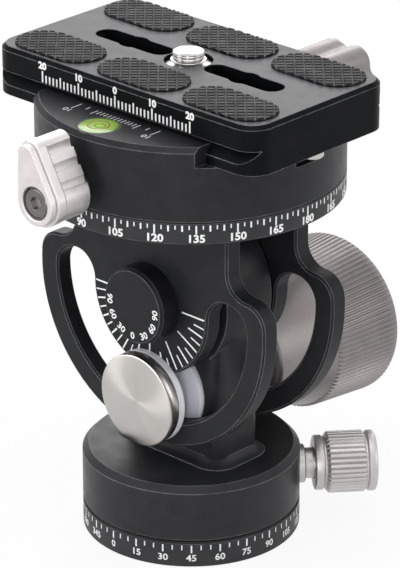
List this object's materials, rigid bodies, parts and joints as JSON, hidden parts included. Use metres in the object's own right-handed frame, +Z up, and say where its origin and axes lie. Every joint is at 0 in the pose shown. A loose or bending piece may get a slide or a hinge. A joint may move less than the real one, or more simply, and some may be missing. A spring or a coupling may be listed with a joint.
{
  "type": "panoramic tripod head",
  "caption": "Tripod head with a panning base, a tilting two-cheek yoke with a lock bolt in curved slots, and a panning quick-release clamp that holds a camera plate.",
  "frame": {"origin": "centre of the base's underside, on the base's panning axis, at the mouth of the tripod thread", "axes": "+X along the camera plate, +Y along the tilt axis towards the large tilt knob, +Z up along both panning axes with the yoke upright"},
  "size_m": [0.071, 0.0911, 0.1024],
  "materials": {
    "black_anodised": "satin black anodised aluminium, bead blasted before anodising",
    "black_plate": "satin black anodised aluminium, finely machined",
    "stainless": "turned stainless steel",
    "blasted_steel": "bead-blasted stainless steel",
    "titanium_grey": "bead-blasted aluminium, titanium grey anodised",
    "steel": "machined steel",
    "chrome": "polished and plated steel",
    "bronze": "machined bearing bronze",
    "nylon_white": "white nylon",
    "nylon_black": "black low-friction plastic",
    "rubber": "black rubber with a cross-hatched face",
    "level_green": "green spirit in the bubble level",
    "clear": "clear window"
  },
  "bodies": {
    "base": {"base_ring": "black_anodised", "base_spindle": "steel", "base_screws": "steel", "thread_bush": "steel", "base_slip_washer": "nylon_black"},
    "pan_body": {"pillar_housing": "black_anodised", "pan_keeper_ring": "black_anodised", "keeper_screws": "steel", "axle_bush": "bronze", "lock_bolt": "steel", "lock_disc": "stainless", "front_nylon_washer": "nylon_white", "slot_sleeves": "nylon_white", "inner_nylon_washers": "nylon_white", "rear_nylon_washer": "nylon_white", "pivot_washers": "nylon_black"},
    "pan_brake": {"pan_brake_shoe": "bronze"},
    "pan_knob": {"pan_knob_screw": "steel", "pan_knob_grip": "titanium_grey"},
    "tilt_washer": {"tilt_thrust_washer": "steel"},
    "tilt_knob": {"tilt_knob_grip": "titanium_grey", "tilt_knob_insert": "bronze", "tilt_knob_cap": "black_anodised"},
    "yoke": {"front_cheek": "black_anodised", "rear_cheek": "black_anodised", "cheek_screws": "steel", "turn_ring": "black_anodised", "top_keeper_disc": "steel", "top_keeper_screws": "steel", "top_slip_washer": "nylon_black", "tilt_axle": "steel", "pivot_cap": "black_anodised", "axle_nut": "steel"},
    "clamp": {"clamp_body": "black_anodised", "jaw_guide_pins": "steel", "level_cup": "bronze", "level_fluid": "level_green", "level_lens": "clear"},
    "top_brake": {"top_brake_shoe": "bronze"},
    "pan_lever": {"lever_handle": "blasted_steel", "lever_shaft": "steel", "lever_screw": "steel"},
    "clamp_jaw": {"rear_jaw": "black_anodised", "jaw_thrust_washer": "steel"},
    "clamp_knob": {"clamp_knob_grip": "titanium_grey", "clamp_knob_screw": "steel"},
    "plate": {"camera_plate": "black_plate", "grip_pads": "rubber", "stop_screws": "chrome", "screw_clip": "steel"},
    "camera_stud": {"camera_screw": "chrome"}
  },
  "joints": [
    {"name": "base_pan", "type": "hinge", "parent": "base", "child": "pan_body", "pos_m": [0, 0, 0], "axis": [0, 0, 1], "continuous": true},
    {"name": "pan_brake_slide", "type": "slide", "parent": "pan_body", "child": "pan_brake", "axis": [0.6561, 0.7547, 0], "range_m": [0, 0.001]},
    {"name": "pan_knob_turn", "type": "hinge", "parent": "pan_brake", "child": "pan_knob", "pos_m": [0, 0, 0.011], "axis": [0.6561, 0.7547, 0], "range_deg": [0, 360]},
    {"name": "tilt", "type": "hinge", "parent": "pan_body", "child": "yoke", "pos_m": [0, 0, 0.053], "axis": [0, 1, 0], "range_deg": [-87, 87]},
    {"name": "tilt_washer_slide", "type": "slide", "parent": "pan_body", "child": "tilt_washer", "axis": [0, 1, 0], "range_m": [0, 0.00125]},
    {"name": "tilt_knob_turn", "type": "hinge", "parent": "tilt_washer", "child": "tilt_knob", "pos_m": [0, 0, 0.0321], "axis": [0, 1, 0], "range_deg": [0, 360]},
    {"name": "top_pan", "type": "hinge", "parent": "yoke", "child": "clamp", "pos_m": [0, 0, 0.079], "axis": [0, 0, 1], "continuous": true},
    {"name": "top_brake_slide", "type": "slide", "parent": "clamp", "child": "top_brake", "axis": [0, -1, 0], "range_m": [0, 0.0004]},
    {"name": "pan_lever_turn", "type": "hinge", "parent": "top_brake", "child": "pan_lever", "pos_m": [0, 0, 0.0831], "axis": [0, -1, 0], "range_deg": [0, 120]},
    {"name": "jaw_slide", "type": "slide", "parent": "clamp", "child": "clamp_jaw", "axis": [0, 1, 0], "range_m": [0, 0.0015]},
    {"name": "clamp_knob_turn", "type": "hinge", "parent": "clamp_jaw", "child": "clamp_knob", "pos_m": [0, 0, 0.0835], "axis": [0, 1, 0], "range_deg": [0, 360]},
    {"name": "plate_slide", "type": "slide", "parent": "clamp", "child": "plate", "axis": [1, 0, 0], "range_m": [-0.015, 0.015]},
    {"name": "camera_screw_turn", "type": "hinge", "parent": "plate", "child": "camera_stud", "pos_m": [-0.0013, 0.0007, 0.095], "axis": [0, 0, 1], "continuous": true}
  ],
  "couplings": [
    {"joint": "pan_brake_slide", "follows": "pan_knob_turn", "m_per_rad": 0.00015915},
    {"joint": "tilt_washer_slide", "follows": "tilt_knob_turn", "m_per_rad": 0.00019894},
    {"joint": "top_brake_slide", "follows": "pan_lever_turn", "m_per_rad": 0.00019099},
    {"joint": "jaw_slide", "follows": "clamp_knob_turn", "m_per_rad": 0.00023873}
  ]
}
